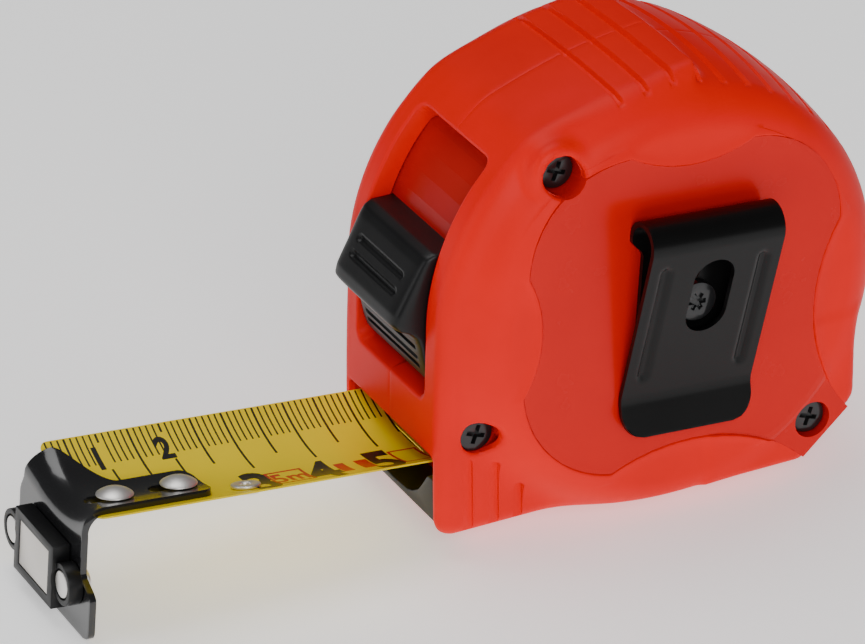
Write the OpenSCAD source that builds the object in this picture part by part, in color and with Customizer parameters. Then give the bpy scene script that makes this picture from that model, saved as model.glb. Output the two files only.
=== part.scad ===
/* [Case] */
// Half width over the flat side panels
panel_y = 20.5; // [20:0.1:21.5]
// Half width of the nose block in front of the reel
nose_y = 16; // [15.8:0.1:16.6]
// Height of the reel axis above the base
axis_z = 31.3; // [31:0.1:32]
// Crown radius of the round back at the mid plane
dome_r = 35; // [34.5:0.1:35.5]
// Radius of the curved front face about the reel axis
front_r = 36.9; // [36.5:0.1:37.2]
// Distance of the flat front face ahead of the reel axis
front_x = 37.6; // [37.4:0.1:38]
// Thickness of the rubber grips
grip_t = 1.5; // [1.2:0.1:1.7]
// Radius of the reel chamber
chamber_r = 28.6; // [28:0.1:29]
// Half width of the reel chamber
chamber_y = 15.3; // [15.2:0.1:15.6]

/* [Blade] */
// Width of the steel band measured along its curve
blade_w = 25; // [24.5:0.1:25]
// Thickness of the coated band
blade_t = 0.25; // [0.2:0.01:0.3]
// Radius of the band's hollow cross section
blade_r = 24.5; // [24:0.1:26]
// Angle at which the band rises towards the hook
blade_pitch = 5.2; // [5:0.1:5.4]
// Height of the band's centre line at the mouth
mouth_z = 8.5; // [8.4:0.1:8.6]
// Length from the mouth to the zero face of the hook
blade_out = 51.8; // [50:0.1:52]

/* [Reel] */
// Outer radius of the reel drum
drum_r = 17; // [16.5:0.1:17.2]
// Outer radius of the wound band
coil_r = 22.4; // [22:0.1:22.6]
// Radius of the fixed spindle
spindle_r = 4; // [3.5:0.1:4.2]

/* [Belt clip] */
// Width of the clip
clip_w = 21.6; // [20:0.1:22]
// Thickness of the clip's steel
clip_t = 0.8; // [0.7:0.1:0.9]
// Turn of the clip on its screw
clip_turn = 4; // [0:0.5:6]

/* [Hidden] */
$fn = 64;

case_red = [0.90, 0.10, 0.08];
panel_red = [0.80, 0.09, 0.07];
black = [0.07, 0.07, 0.08];
steel = [0.75, 0.75, 0.77];
tape_yellow = [0.92, 0.80, 0.10];

wall = 1.8;              // hard shell behind the rubber
disc_y0 = 15.5;          // where the crown ends and the disc edge rounding starts
edge_r = 5;              // rounding of the disc edge
crown_drop = 1.3;        // fall of the crown from the mid plane to disc_y0
mouth_y = 13.6;          // half width of the mouth
mouth_low = 2.1;         // bottom of the bumper
mouth_top = 13.1;        // upper lip
slot_y = 10.65;          // half width of the button slot
slot_low_a = -15.2;      // slot ends, as angles above the forward horizontal
slot_high_a = 44.7;
cover_r = 33.6;          // face of the curved cover behind the button
button_low_a = -14.6;      // button ends at rest
button_high_a = 21.6;
button_turn = 21;        // travel of the button to the unlocked end
stem_low_a = -8.6;       // stem through the cover, hidden under the button at rest
stem_high_a = -1;
groove_d = 0.5;
screw_up = [-18.9, 56.4];    // case screws, as x and z
screw_front = [-31.2, 16.2];
screw_rear = [22.2, 6.9];
seat_up = -15.0;         // where each screw head seats
seat_front = -13.4;
seat_rear = -17.2;
head_h = 1.8;
boss_y = 18.6;           // upper screw boss, on the clip side of the disc
strip_in = 3.4;          // band's inner end, behind the mouth
hook_t = 1.2;
hook_gap = 0.06;         // hook tongue above the band
slot_r = 1.3;            // half width of the slots that let the hook shift by its own thickness
rivet_x = [6.3, 16.3];   // hook rivets, from the zero face
rivet_y = -3.75;
shank_r = 1.2;
eyelet_p = [25.4, -6.9];

function polar(r, a) = [-r * cos(a), axis_z + r * sin(a)];
function arc(c, r, a0, a1, n = 12) = [for (i = [0:n]) let (a = a0 + (a1 - a0) * i / n)
    [c[0] + r * cos(a), c[1] + r * sin(a)]];
function mid(p, q) = (p + q) / 2;
// Arc from p to q that bulges by s to the left of the way from p to q
function bulge(p, q, s, n = 10) =
    let (d = q - p, l = norm(d), r = (l * l / 4 + s * s) / (2 * abs(s)),
         nrm = [-d[1], d[0]] / l, c = mid(p, q) + nrm * (s > 0 ? s - r : s + r),
         a0 = atan2(p[1] - c[1], p[0] - c[0]), a1 = atan2(q[1] - c[1], q[0] - c[0]),
         da = a1 - a0 > 180 ? a1 - a0 - 360 : a1 - a0 < -180 ? a1 - a0 + 360 : a1 - a0)
    [for (i = [0:n]) let (a = a0 + da * i / n) [c[0] + r * cos(a), c[1] + r * sin(a)]];

// Draws an outline given in x and z, from y0 to y1
module side_plate(y0, y1) translate([0, y1, 0]) rotate([90, 0, 0]) linear_extrude(y1 - y0) children();
// Cylinder along y at x, z
module cross_pin(p, r, y0, y1) translate([p[0], y1, p[1]]) rotate([90, 0, 0]) cylinder(r = r, h = y1 - y0);
// Turned shape about the reel axis, from an outline of radius and y
module turned(pts) translate([0, 0, axis_z]) rotate([-90, 0, 0]) rotate_extrude($fn = 128) polygon(pts);
module ring(r0, r1, y0, y1) turned([[r0, y0], [r1, y0], [r1, y1], [r0, y1]]);
// Keeps the half of its children on the side s (-1 is the clip side)
module half(s) intersection() {
    children();
    translate([-60, s < 0 ? -40 : 0, -20]) cube([120, 40, 120]);
}

crown_r = (disc_y0 * disc_y0 + crown_drop * crown_drop) / (2 * crown_drop);
function crown(y, i) = dome_r - i - (crown_r - sqrt(crown_r * crown_r - y * y));
function rim_half(i) = concat([for (k = [0:4]) let (y = disc_y0 * k / 4) [crown(y, i), y]],
    [for (k = [1:8]) let (a = 90 * k / 8)
        [crown(disc_y0, i) - (edge_r - i) * (1 - cos(a)), disc_y0 + (edge_r - i) * sin(a)]]);
function flip(pts) = [for (k = [len(pts) - 1:-1:0]) [pts[k][0], -pts[k][1]]];

module disc(i) turned(concat([[0, -panel_y + i]], flip(rim_half(i)), rim_half(i), [[0, panel_y - i]]));
// Nose block: flat front face, curved upper front and shoulder, inset by i
module nose_outline(i) polygon(concat(
    [[12, i]], arc([-front_x + 3, 3], 3 - i, 270, 180, 6),
    [[-front_x + i, 22]],
    [for (k = [0:14]) let (a = -3 + 56 * k / 14) polar(front_r - i, a)],
    [[-17.5 + i * 0.2, 62.6 - i], [-12, 63.9 - i], [-6, 40], [12, axis_z]]));
module nose(i) side_plate(-nose_y + i, nose_y - i) nose_outline(i);
// Rear foot with the chamfered lower corner
module foot(i) side_plate(-panel_y + 0.3 + i, panel_y - 0.3 - i)
    polygon([[4, i + 1.2], [12, i], [20.6 - i * 0.4, i], [28.6 - i * 0.9, 7.6 + i * 0.2],
             [30 - i, 10], [28.9 - i, 14], [28.2 - i, 19.5], [30 - i, 26], [20, axis_z], [4, axis_z]]);
module case_body(i) intersection() {
    union() {
        disc(i);
        nose(i);
        foot(i);
        cross_pin(screw_up, 4.7 - i, -boss_y + i, 0);
    }
    translate([-60, -40, i]) cube([120, 80, 90]);
}

// Scalloped outline of the side panel
p1 = [-8.6, 57.4]; p2 = [11.3, 56.3]; p3 = [25.9, 39.9]; p4 = [28.3, 7.5];
p5 = [20.8, 0.9]; p6 = [-11.9, 7.0]; p7 = [-26.1, 23.2]; p8 = [-25.1, 42.2];
module panel_outline() polygon(concat(
    bulge(p2, p1, 2.6), bulge(p1, p8, -4.6), bulge(p8, p7, 2.6), bulge(p7, p6, -3.6),
    bulge(p6, p5, 5.2), bulge(p4, p3, 5.3, 12), bulge(p3, p2, -4.4)));
module panel_prism() for (s = [-1, 1]) side_plate(min(s * panel_y, s * 18.8), max(s * panel_y, s * 18.8))
    panel_outline();

// Blade frame: x runs inwards from the mouth, z is up across the band
module along_blade() translate([-front_x - 0.2, 0, mouth_z]) rotate([0, blade_pitch, 0]) children();
module at_hook() along_blade() translate([-blade_out, 0, 0]) children();
half_a = blade_w / 2 / blade_r * 180 / PI;
// Upright on the hollow band at x from the zero face and y across, with z = 0 at the band's lower face
module on_band(x, y) translate([x, 0, blade_r + blade_t]) rotate([asin(y / blade_r), 0, 0])
    translate([0, 0, -blade_r - blade_t]) children();
// Trough section of inner radius r0 and outer radius r1, about the band's axis
module trough(r0, r1, a, x0, x1) translate([x0, 0, blade_r + blade_t]) rotate([90, 0, 90])
    linear_extrude(x1 - x0) intersection() {
        difference() {
            circle(r = r1, $fn = 128);
            circle(r = r0, $fn = 128);
        }
        polygon([[0, 0], [60 * sin(-a), -60 * cos(a)], [0, -60], [60 * sin(a), -60 * cos(a)]]);
    }

// Mouth for the band, open below between the cheeks of the nose
module mouth_cut() {
    translate([-45, -mouth_y, mouth_low]) cube([16, 2 * mouth_y, mouth_top - mouth_low]);
    translate([-45, -mouth_y, -1]) cube([13, 2 * mouth_y, mouth_top + 1]);
}
module slot_sector(r0, r1, a0, a1, hy) side_plate(-hy, hy) polygon(concat(
    [for (k = [0:12]) polar(r0, a0 + (a1 - a0) * k / 12)],
    [for (k = [12:-1:0]) polar(r1, a0 + (a1 - a0) * k / 12)]));
module screw_holes(r, y0, y1) for (p = [screw_up, screw_front, screw_rear]) cross_pin(p, r, y0, y1);
module screw_wells(r) {
    cross_pin(screw_up, r, -30, seat_up);
    cross_pin(screw_front, r, -30, seat_front);
    cross_pin(screw_rear, r, -30, seat_rear);
}

module chamber() {
    ring(0, chamber_r, -chamber_y, chamber_y);
    // Channel for the band and the brake, and the space for the lock behind the front wall
    side_plate(-mouth_y, mouth_y) polygon([[-31, 5.4], [-31, 12.8], [-24.5, 16], [0, 20], [16, 14],
                                           [16.5, 2.6], [8, 2.6], [-10, 3.0], [-24, 4.4]]);
    slot_sector(24, 31.0, -17, 49, 9.4);
    side_plate(-9.4, 9.4) polygon([[-29.8, 8], [-29.8, 30], [-22, 30], [-22, 8]]);
}
// Round pockets with six ribs left between them in the side walls
module side_pockets(s) difference() {
    ring(9, 26, s < 0 ? -panel_y + 2.2 : chamber_y - 0.1, s < 0 ? -chamber_y + 0.1 : panel_y - 2.2);
    for (k = [0:5]) translate([0, 0, axis_z]) rotate([0, k * 60 + 15, 0])
        translate([0, -25, -0.8]) cube([40, 50, 1.6]);
}

module shell_half(s) color(panel_red) half(s) difference() {
    union() {
        case_body(grip_t);
        intersection() {
            case_body(0);
            panel_prism();
        }
    }
    chamber();
    side_pockets(s);
    mouth_cut();
    slot_sector(30.8, 45, slot_low_a - 3, slot_high_a + 3, slot_y + 1.3);
    ring(0, spindle_r, -18, 18);
    if (s < 0) {
        screw_holes(1.5, -30, 10);
        screw_wells(2.9);
        clip_screw_hole(1.7);
    } else screw_holes(1.25, -1, 13);
}
module shell_clip_side() shell_half(-1);
module shell_plain_side() shell_half(1);

// Rubber skin with shallow grip grooves over the crown and at the nose
module grip_grooves() {
    intersection() {
        difference() {
            disc(-1);
            disc(groove_d);
        }
        for (k = [0:10]) let (a = 104 - k * 7.2) translate([0, 0, axis_z]) rotate([0, -a, 0])
            translate([25, -16.2, -0.45]) cube([15, 32.4, 0.9]);
    }
    for (k = [0:2]) translate([-33 + k * 4.2, 0, 0]) for (y = [-nose_y - 2.4, nose_y + 0.4])
        translate([0, y, -1]) cube([1.6, 2, 13.5 - k * 2.4]);
}
module grip_half(s) color(case_red) half(s) difference() {
    case_body(0);
    case_body(grip_t);
    panel_prism();
    mouth_cut();
    slot_sector(30, 45, slot_low_a, slot_high_a, slot_y);
    if (s < 0) screw_wells(2.9);
    grip_grooves();
}
module grip_clip_side() grip_half(-1);
module grip_plain_side() grip_half(1);

module case_screw(p, seat) color(black) difference() {
    union() {
        cross_pin(p, 2.6, seat - head_h, seat);
        cross_pin(p, 1.2, seat, 12);
    }
    for (a = [0, 90]) translate([p[0], seat - head_h, p[1]]) rotate([0, a + 20, 0])
        translate([-1.5, -1, -0.35]) cube([3, 2, 0.7]);
}
module case_screws() {
    case_screw(screw_up, seat_up);
    case_screw(screw_front, seat_front);
    case_screw(screw_rear, seat_rear);
}

// Curved cover behind the lock button, with the slit for the button's stem
module slot_cover() color(panel_red) difference() {
    slot_sector(cover_r - 1.6, cover_r, slot_low_a - 2.6, slot_high_a + 2.6, slot_y + 1.1);
    slot_sector(25, 40, stem_low_a - 0.6, stem_high_a + button_turn + 0.6, 3.1);
}
// Black bumper under the band: a bar across the mouth with a trough that clears the band
bumper_side = [[mouth_y - 0.1, mouth_low], [mouth_y - 0.1, 9.0], [12.2, 9.1], [11.0, 8.7],
               [9.4, 6.6], [8.0, 5.0], [6.2, 3.9], [4.5, 3.4], [0, 3.2]];
module nose_bumper() color(black) difference() {
    translate([-front_x + 0.5, 0, 0]) rotate([90, 0, 90]) linear_extrude(6.4)
        polygon(concat(bumper_side, [for (k = [7:-1:0]) [-bumper_side[k][0], bumper_side[k][1]]]));
    // Room for the free stretch of band behind the mouth
    translate([-34.1, -12.2, 6.2]) cube([5, 24.4, 4]);
}
module spindle() color(steel) difference() {
    ring(0, spindle_r, -17.9, 17.9);
    translate([-0.35, -12, axis_z - spindle_r - 1]) cube([0.7, 24, 6]);
    clip_screw_hole(1.4);
}
module liner(s) color("whitesmoke")
    ring(spindle_r + 0.3, 26, s < 0 ? -chamber_y : chamber_y - 0.5, s < 0 ? -chamber_y + 0.5 : chamber_y);
module liner_clip_side() liner(-1);
module liner_plain_side() liner(1);

// Drum with one flange, running on the spindle
module reel_drum() color("dimgray") difference() {
    union() {
        ring(drum_r - 1.8, drum_r, -13, 13);
        ring(spindle_r + 0.05, 25.5, 13, 14.5);
        ring(spindle_r + 0.05, spindle_r + 1.4, 8, 13);
    }
    translate([0, 13.5, axis_z]) for (k = [0:5]) rotate([0, 60 * k, 0])
        translate([10.5, 4, 0]) rotate([90, 0, 0]) cylinder(r = 2.4, h = 8);
}
module reel_cover() color("dimgray") difference() {
    ring(spindle_r + 0.05, 25.5, -14.5, -13);
    translate([0, -13.5, axis_z]) for (k = [0:5]) rotate([0, 60 * k, 0])
        translate([10.5, 4, 0]) rotate([90, 0, 0]) cylinder(r = 2.4, h = 8);
}
// Spiral outline between radii a and b, of band thickness t
spring_turns = 7;
function spiral(a, b, n, t) = concat(
    [for (k = [0:n]) let (f = k / n, g = 360 * spring_turns * f, r = a + (b - a) * f)
        [r * cos(g), r * sin(g)]],
    [for (k = [n:-1:0]) let (f = k / n, g = 360 * spring_turns * f, r = a + (b - a) * f + t)
        [r * cos(g), r * sin(g)]]);
module power_spring() color("slategray") translate([0, 7.5, axis_z]) rotate([90, 0, 0])
    linear_extrude(19) polygon(spiral(6.2, 14.4, spring_turns * 20, 0.6));

module blade_coil() color(tape_yellow) difference() {
    ring(drum_r, coil_r, -blade_w / 2, blade_w / 2);
    // Steps left by the last turns of the band
    for (k = [0:2]) ring(coil_r - 0.35 - k * 1.4, coil_r - 0.2 - k * 1.4, -blade_w, -blade_w / 2 + 0.3);
}
// Free stretch between the coil and the straight band, flattening as it winds on
module blade_lead() color(tape_yellow) side_plate(-blade_w / 2 + 0.6, blade_w / 2 - 0.6)
    polygon(concat(bulge([-33.9, 8.35], [-7.0, 9.3], -1.3, 8), bulge([-7.0, 9.05], [-33.9, 8.1], 1.3, 8)));
module blade() color(tape_yellow) along_blade() difference() {
    trough(blade_r, blade_r + blade_t, half_a, -blade_out + hook_t, strip_in);
    translate([-blade_out, 0, 0]) {
        for (x = rivet_x) on_band(x, rivet_y) translate([0, 0, -5]) cylinder(r = shank_r, h = 10);
        on_band(eyelet_p[0], eyelet_p[1]) translate([0, 0, -5]) cylinder(r = 1.5, h = 10);
    }
}
// Domed heads over the tongue, closed heads under the band
module hook_rivets() color(steel) at_hook() for (x = rivet_x) on_band(x, rivet_y) {
    translate([0, 0, -0.3]) cylinder(r = shank_r, h = 2.2);
    translate([0, 0, 1.55]) intersection() {
        cylinder(r = 2.75, h = 1.2);
        translate([0, 0, -3.2]) sphere(r = 4.4);
    }
    translate([0, 0, -0.85]) cylinder(r = 2.1, h = 0.83);
}
module blade_eyelet() color(steel) at_hook() on_band(eyelet_p[0], eyelet_p[1]) difference() {
    union() {
        translate([0, 0, -0.2]) cylinder(r = 1.5, h = 0.9);
        translate([0, 0, blade_t + 0.14]) cylinder(r = 2.2, h = 0.45);
        translate([0, 0, -0.45]) cylinder(r = 2.1, h = 0.43);
    }
    translate([0, 0, -2]) cylinder(r = 0.9, h = 8);
}

// Radii of the hook tongue, and the height of its middle layer across the band
tongue_r1 = blade_r - hook_gap;
tongue_r0 = tongue_r1 - 1.0;
function tongue_mid(y) = blade_r + blade_t - sqrt(pow(tongue_r0 + 0.5, 2) - y * y);
module tongue_outline() polygon(concat(
    [[-hook_t, -8.9], [4.2, -8.9]], arc([17.6, -5.9], 2.2, -90, 0, 5), arc([16.7, -2.3], 3.1, 0, 90, 6),
    bulge([13.3, 0.9], [7.4, 3.6], 0.9, 6), bulge([6.6, 5.0], [3.4, 9.9], -0.7, 6), [[-hook_t, 12.2]]));
module hook_plate_outline() polygon(concat(
    [for (k = [0:10]) let (y = -9.3 + 21.8 * k / 10) [y, tongue_mid(y)]],
    [[12.7, -7], [12.9, -9.2]], arc([11.4, -14.7], 1.5, 0, -90, 5), arc([-11.4, -14.7], 1.5, -90, -180, 5),
    [[-12.9, -9.2], [-10.6, -7.4]], bulge([-9.2, -5.6], [-9.3, -0.4], 0.35, 4)));
module hook() color(black) at_hook() difference() {
    union() {
        intersection() {
            trough(tongue_r0, tongue_r1, 40, -hook_t, 22);
            translate([0, 0, -5]) linear_extrude(20) tongue_outline();
        }
        translate([-hook_t, 0, 0]) rotate([90, 0, 90]) linear_extrude(hook_t) hook_plate_outline();
    }
    for (x = rivet_x) on_band(x, rivet_y) {
        for (d = [0, 3.4]) translate([-d, 0, -1]) cylinder(r = slot_r, h = 8);
        translate([-3.4, -slot_r, -1]) cube([3.4, 2 * slot_r, 8]);
    }
    for (y = [-8.7, 8.7]) translate([-5, 1.2 + y, -8.9]) rotate([0, 90, 0]) cylinder(r = 1.1, h = 10);
}
holder_y = 1.2;
holder_z = -8.9;
module magnet_holder() color(black) at_hook() translate([0, holder_y, holder_z]) difference() {
    union() {
        translate([-hook_t - 2.6, -6.7, -5]) cube([2.6, 13.4, 10]);
        for (y = [-8.7, 8.7]) translate([-hook_t - 2.1, y, 0]) rotate([0, 90, 0]) cylinder(r = 3.1, h = 2.1);
    }
    translate([-hook_t - 3, -5.05, -3.55]) cube([2.8, 10.1, 7.1]);
    for (y = [-8.7, 8.7]) translate([-hook_t - 5, y, 0]) rotate([0, 90, 0]) cylinder(r = 1.1, h = 10);
    for (y = [-8.7, 8.7]) translate([-hook_t - 3.1, y, 0]) rotate([0, 90, 0]) cylinder(r = 2.3, h = 1.5);
}
module magnet() color(steel) at_hook() translate([-hook_t - 2.5, holder_y - 5.05, holder_z - 3.55])
    cube([2.3, 10.1, 7.1]);
module magnet_rivets() color(steel) at_hook() for (y = [-8.7, 8.7])
    translate([-hook_t - 2.1, holder_y + y, holder_z]) rotate([0, 90, 0]) {
        cylinder(r = 2.0, h = 0.5);
        cylinder(r = 1.1, h = 3.5);
        translate([0, 0, 3.32]) cylinder(r = 1.9, h = 0.6);
    }

// Thumb button: ridge across the middle, hollow lower face, finger grooves
button_y = slot_y - 0.3;
module lock_button() color(black) difference() {
    side_plate(-button_y, button_y) polygon(concat(
        [for (k = [0:10]) polar(cover_r + 0.15, button_low_a + (button_high_a - button_low_a) * k / 10)],
        [[-36.4, 43.4]], arc([-39.9, 34.7], 1.3, 150, 215, 5),
        bulge([-39.6, 32.0], [-37.0, 25.5], 0.9, 5),
        [[-36.0, 23.3]]));
    for (z = [40.2, 37.6]) translate([-43.0 + (z - 34) * 0.51, -8, z - 0.5])
        rotate([0, -28, 0]) cube([3.1, 16, 1]);
    for (z = [27.4, 29.2]) translate([-41.8, -8, z - 0.4]) cube([3.1, 16, 0.8]);
    slot_sector(25, cover_r + 1.6, stem_low_a + 1.5, stem_high_a - 1.5, 2.2);
}
// Carriage behind the cover, joined to the button through the slit
module lock_carriage() color("dimgray") {
    slot_sector(29.4, cover_r - 1.75, stem_low_a - 3, stem_high_a + 20, 8.4);
    slot_sector(cover_r - 1.8, cover_r + 0.15, stem_low_a, stem_high_a, 2.85);
    slot_sector(cover_r, cover_r + 1.6, stem_low_a + 1.5, stem_high_a - 1.5, 2.2);
}
module lock_rivets() color(steel) for (y = [-6, 6]) translate([0, 0, axis_z]) rotate([0, -6, 0])
    translate([-29.34, y, 0]) rotate([0, 90, 0]) cylinder(r = 1.2, h = 0.6);
// Brake pad that the carriage wedges down on the band, on the side that the hook's tongue leaves free
module brake_shoe() color("dimgray") intersection() {
    side_plate(2.6, 9.2) polygon([[-29.5, 5], [-29.5, 20], [-26.5, 22.5], [-22.4, 18], [-22.4, 5]]);
    along_blade() translate([-10, 0, blade_r + blade_t]) rotate([0, 90, 0])
        cylinder(r = blade_r - 0.45, h = 40, $fn = 128);
}

// Clip frame: x across the clip, y outwards is -y, z up, turned about its screw
module at_clip() translate([1, -panel_y, axis_z + 1.9]) rotate([0, clip_turn, 0]) children();
module clip_screw_hole(r) at_clip() rotate([90, 0, 0]) translate([0, 0, -14]) cylinder(r = r, h = 15);
bend_r = 3.5;            // outer radius of the rolled bend
bend_z = 11.4;           // height of its centre above the screw
leaf_lean = 13.3;
base_turn = 120;         // turn of the bend on the base, and where the leaf takes over
leaf_turn = 132;
leaf_l = 25.4;
lip_l = 6.8;
lip_lean = 17;
window_z = [-0.8, 5.3];  // centres of the window's round ends
window_r = 3.3;
// Outline in y and z, drawn across the clip's width w
module clip_side(w) translate([-w / 2, 0, 0]) rotate([90, 0, 90]) linear_extrude(w) children();
// Rolled bend between two turns from the panel side
module bend_part(a0, a1) intersection() {
    difference() {
        translate([-clip_w / 2, -bend_r, bend_z]) rotate([0, 90, 0]) cylinder(r = bend_r, h = clip_w);
        translate([-clip_w, -bend_r, bend_z]) rotate([0, 90, 0])
            cylinder(r = bend_r - clip_t, h = 2 * clip_w);
    }
    clip_side(clip_w + 2) polygon(concat([[-bend_r, bend_z]], arc([-bend_r, bend_z], 2 * bend_r, a0, a1, 4)));
}
// Base leaf on the panel and the first part of the bend
module belt_clip_base() color(black) at_clip() difference() {
    union() {
        clip_side(clip_w - 4) polygon([[-clip_t, -7], [0, -7], [0, bend_z], [-clip_t, bend_z]]);
        bend_part(0, base_turn);
    }
    translate([0, 5, 0]) rotate([90, 0, 0]) cylinder(r = 2.1, h = 10);
}
// Point on the leaf: out from the bend centre, then down along the leaf
function on_leaf(out, down) = [-bend_r - out * cos(leaf_lean) + down * sin(leaf_lean),
                               bend_z - out * sin(leaf_lean) - down * cos(leaf_lean)];
function lip(p, l) = p + l * [-sin(lip_lean), -cos(lip_lean)];
module belt_clip_leaf() color(black) at_clip() difference() {
    union() {
        bend_part(leaf_turn, 180 + leaf_lean);
        clip_side(clip_w) polygon([on_leaf(bend_r - clip_t, -0.05), on_leaf(bend_r, -0.05),
            on_leaf(bend_r, leaf_l),
            lip(on_leaf(bend_r, leaf_l), lip_l), lip(on_leaf(bend_r - clip_t, leaf_l + 0.35), lip_l),
            on_leaf(bend_r - clip_t, leaf_l + 0.35)]);
    }
    for (z = window_z) translate([0.3, 5, z]) rotate([90, 0, 0]) cylinder(r = window_r, h = 30);
    translate([0.3 - window_r, -25, window_z[0]]) cube([2 * window_r, 30, window_z[1] - window_z[0]]);
}
module clip_screw() color(black) at_clip() difference() {
    rotate([90, 0, 0]) union() {
        translate([0, 0, -8]) cylinder(r = 1.4, h = 9);
        translate([0, 0, clip_t]) cylinder(r = 3.0, h = 1.3);
    }
    for (a = [0, 60, 120]) rotate([0, a, 0]) translate([-1.4, -clip_t - 2, -0.35]) cube([2.8, 1.4, 0.7]);
}

shell_clip_side();
shell_plain_side();
grip_clip_side();
grip_plain_side();
case_screws();
slot_cover();
nose_bumper();
spindle();
liner_clip_side();
liner_plain_side();
reel_drum();
reel_cover();
power_spring();
blade_coil();
blade_lead();
blade();
hook_rivets();
blade_eyelet();
hook();
magnet_holder();
magnet();
magnet_rivets();
lock_button();
lock_carriage();
lock_rivets();
brake_shoe();
belt_clip_base();
belt_clip_leaf();
clip_screw();
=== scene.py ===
"""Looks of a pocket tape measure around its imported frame: rubber grips, band and scale, hook, button, clip.

Lengths in this file are millimetres in the frame's own axes, and become metres where a mesh is made.
"""
import math

import bmesh
import bpy
import numpy as np
from mathutils import Matrix, Vector


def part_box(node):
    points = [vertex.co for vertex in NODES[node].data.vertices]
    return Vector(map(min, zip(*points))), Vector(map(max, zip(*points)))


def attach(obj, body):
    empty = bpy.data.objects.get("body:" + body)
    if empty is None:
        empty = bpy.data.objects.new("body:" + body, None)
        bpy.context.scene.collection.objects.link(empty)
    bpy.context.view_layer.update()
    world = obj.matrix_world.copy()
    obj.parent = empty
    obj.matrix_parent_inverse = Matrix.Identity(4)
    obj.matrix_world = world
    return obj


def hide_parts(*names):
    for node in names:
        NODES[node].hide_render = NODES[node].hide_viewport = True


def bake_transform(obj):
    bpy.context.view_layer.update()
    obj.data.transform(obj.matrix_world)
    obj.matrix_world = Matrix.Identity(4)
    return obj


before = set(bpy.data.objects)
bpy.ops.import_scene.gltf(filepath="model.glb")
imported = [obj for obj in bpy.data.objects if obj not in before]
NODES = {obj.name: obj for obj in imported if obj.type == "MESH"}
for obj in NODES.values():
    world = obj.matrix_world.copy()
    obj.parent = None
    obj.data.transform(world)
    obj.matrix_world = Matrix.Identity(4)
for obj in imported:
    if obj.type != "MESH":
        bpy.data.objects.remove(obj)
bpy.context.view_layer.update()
MM = 0.001

# ---------------------------------------------------------------- driving sizes
AXIS_Z = 31.3            # reel axis above the base
DOME_R = 35.0            # crown of the disc in the middle
CROWN_DROP = 1.3         # how far the crown falls towards its edge rounding
EDGE_START = 15.5        # half width where the disc's edge rounding starts
EDGE_R = 5.0
PANEL_Y = 20.5           # half width of the disc
NOSE_Y = 16.0            # half width of the nose
FRONT_X = 37.6           # front face below the slot
FRONT_R = 36.9           # front face above it, round the reel axis
GRIP_T = 1.45            # rubber skin
SLOT_LOW, SLOT_HIGH, SLOT_Y = -15.2, 44.7, 10.65     # ends in degrees above the horizontal, half width
BUTTON_LOW, BUTTON_HIGH = -14.6, 21.6
COVER_R = 33.6           # curved cover behind the button
MOUTH_Y, MOUTH_TOP = 13.6, 13.1
WELLS = ((-18.9, 56.4, 3.0), (-31.2, 16.2, 2.75), (22.2, 6.9, 2.75))     # x, z and radius
BLADE_R, BLADE_T, BLADE_W = 24.5, 0.25, 25.0
BLADE_PITCH = math.radians(5.2)
BLADE_OUT = 51.8         # from the mouth to the hook's zero face
CONDENSE = 0.78          # width of the band's lettering against its height, as a share of the font's own
MOUTH_POINT = (-FRONT_X - 0.2, 0.0, 8.5)
HOOK_T = 1.2
CLIP_T = 0.8
CLIP_W = 21.6
CLIP_TURN = math.radians(4.0)
CLIP_AT = (1.0, -PANEL_Y, AXIS_Z + 1.9)
BEND_R, BEND_UP = 3.5, 11.4              # rolled bend: outer radius, and its centre above the screw
LEAF_LEAN, LEAF_L = 13.3, 25.4           # the leaf's slope towards the panel, in degrees, and its length
LIP_L, LIP_LEAN = 6.8, 17.0              # the flared lip
WINDOW_X, WINDOW_LOW, WINDOW_HIGH, WINDOW_R = 0.3, -0.8, 5.3, 3.3
NOSE_GROOVES = ((-32.95, 0.85, 12.8), (-28.75, 0.85, 11.6), (-24.8, 0.75, 7.1))  # middle, half width, top
CROWN_GROOVES = tuple(76 + 7.2 * k for k in range(11))   # degrees
BUTTON_GROOVES = ((39.9, 0.55, 0.5, 6.6), (37.7, 0.55, 0.5, 6.6), (25.4, 0.4, 0.4, 8.0),
                  (27.0, 0.4, 0.4, 8.0), (28.6, 0.35, 0.4, 8.0))  # height, depth, half width, half length
GRIP_FACE = 35.0         # above this height a button groove lies on the sloping upper face


# ---------------------------------------------------------------- mesh tools
def new_object(name, verts, faces, smooth_angle=35.0):
    """Object from points in millimetres and faces, smooth except at edges sharper than the angle."""
    mesh = bpy.data.meshes.new(name)
    mesh.from_pydata((np.asarray(verts, float) * MM).tolist(), [], np.asarray(faces).tolist())
    mesh.validate()
    shade(mesh, smooth_angle)
    obj = bpy.data.objects.new(name, mesh)
    bpy.context.scene.collection.objects.link(obj)
    return obj


def shade(mesh, angle):
    """Smooth shading with sharp edges kept above the angle, in degrees."""
    mesh.polygons.foreach_set("use_smooth", np.ones(len(mesh.polygons), bool))
    mesh.set_sharp_from_angle(angle=math.radians(angle))


def grid_faces(nu, nv, close_u=False, close_v=False, flip=False):
    """Quads between neighbouring points of a nu by nv grid, closed round in u or v where asked."""
    iu = np.arange(nu if close_u else nu - 1)
    iv = np.arange(nv if close_v else nv - 1)
    a, b = np.meshgrid(iu, iv, indexing="ij")
    c, d = (a + 1) % nu, (b + 1) % nv
    quads = np.stack([a * nv + b, c * nv + b, c * nv + d, a * nv + d], axis=-1).reshape(-1, 4)
    return quads[:, ::-1] if flip else quads


def grid_object(name, pts, close_u=False, close_v=False, flip=False, smooth_angle=35.0):
    """Object from a grid of points [u, v, xyz]."""
    faces = grid_faces(pts.shape[0], pts.shape[1], close_u, close_v, flip)
    return new_object(name, pts.reshape(-1, 3), faces, smooth_angle)


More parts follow.
